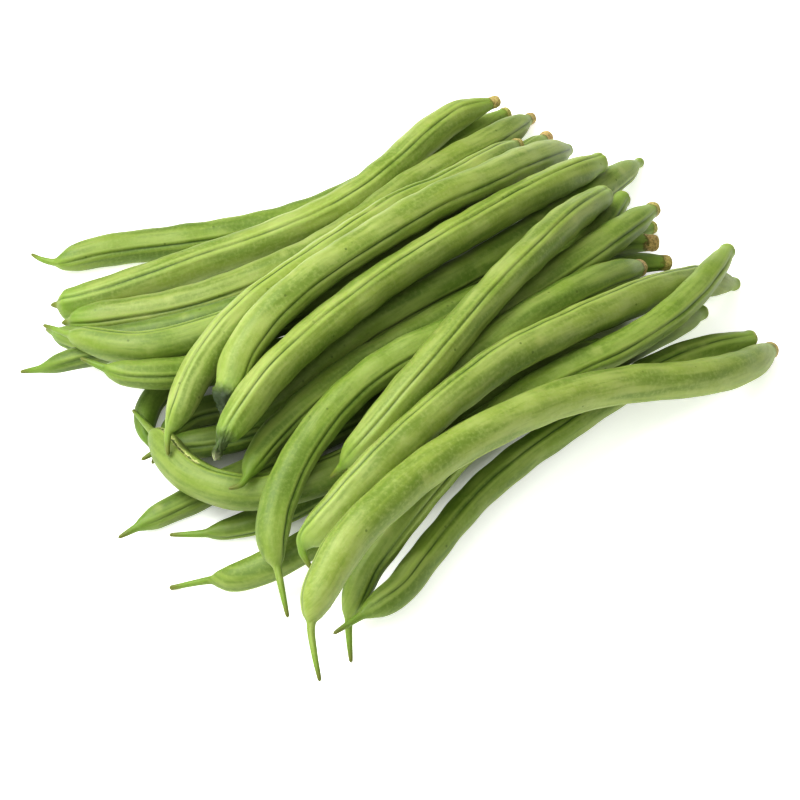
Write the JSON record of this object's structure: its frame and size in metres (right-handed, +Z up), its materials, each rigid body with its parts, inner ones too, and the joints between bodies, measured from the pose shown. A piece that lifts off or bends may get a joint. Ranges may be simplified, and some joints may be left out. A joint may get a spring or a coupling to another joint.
{
  "type": "green bean bundle",
  "caption": "Loose bundle of fresh green bean pods with thin curved beaks and torn stem ends, lying across each other.",
  "frame": {"origin": "on the ground, under the middle of the bundle's box", "axes": "+Z up; +X across the bundle from the beaks towards the stem ends; +Y towards the back of the bundle"},
  "size_m": [0.1928, 0.17, 0.0453],
  "materials": {
    "skin_bright": "satin yellow-green bean skin",
    "skin_mid": "satin green bean skin",
    "skin_deep": "satin deep green bean skin"
  },
  "bodies": {
    "root": {"pod_01": "skin_mid", "pod_02": "skin_bright", "pod_03": "skin_bright", "pod_04": "skin_deep", "pod_05": "skin_deep", "pod_06": "skin_mid", "pod_07": "skin_deep", "pod_08": "skin_mid", "pod_09": "skin_deep", "pod_10": "skin_deep", "pod_11": "skin_deep", "pod_12": "skin_deep", "pod_13": "skin_deep", "pod_14": "skin_mid", "pod_15": "skin_mid", "pod_16": "skin_mid", "pod_17": "skin_bright", "pod_18": "skin_bright", "pod_19": "skin_mid", "pod_20": "skin_bright", "pod_21": "skin_mid", "pod_22": "skin_mid", "pod_23": "skin_mid", "pod_24": "skin_bright", "pod_25": "skin_bright", "pod_26": "skin_mid", "pod_27": "skin_mid", "pod_28": "skin_bright"}
  },
  "joints": []
}
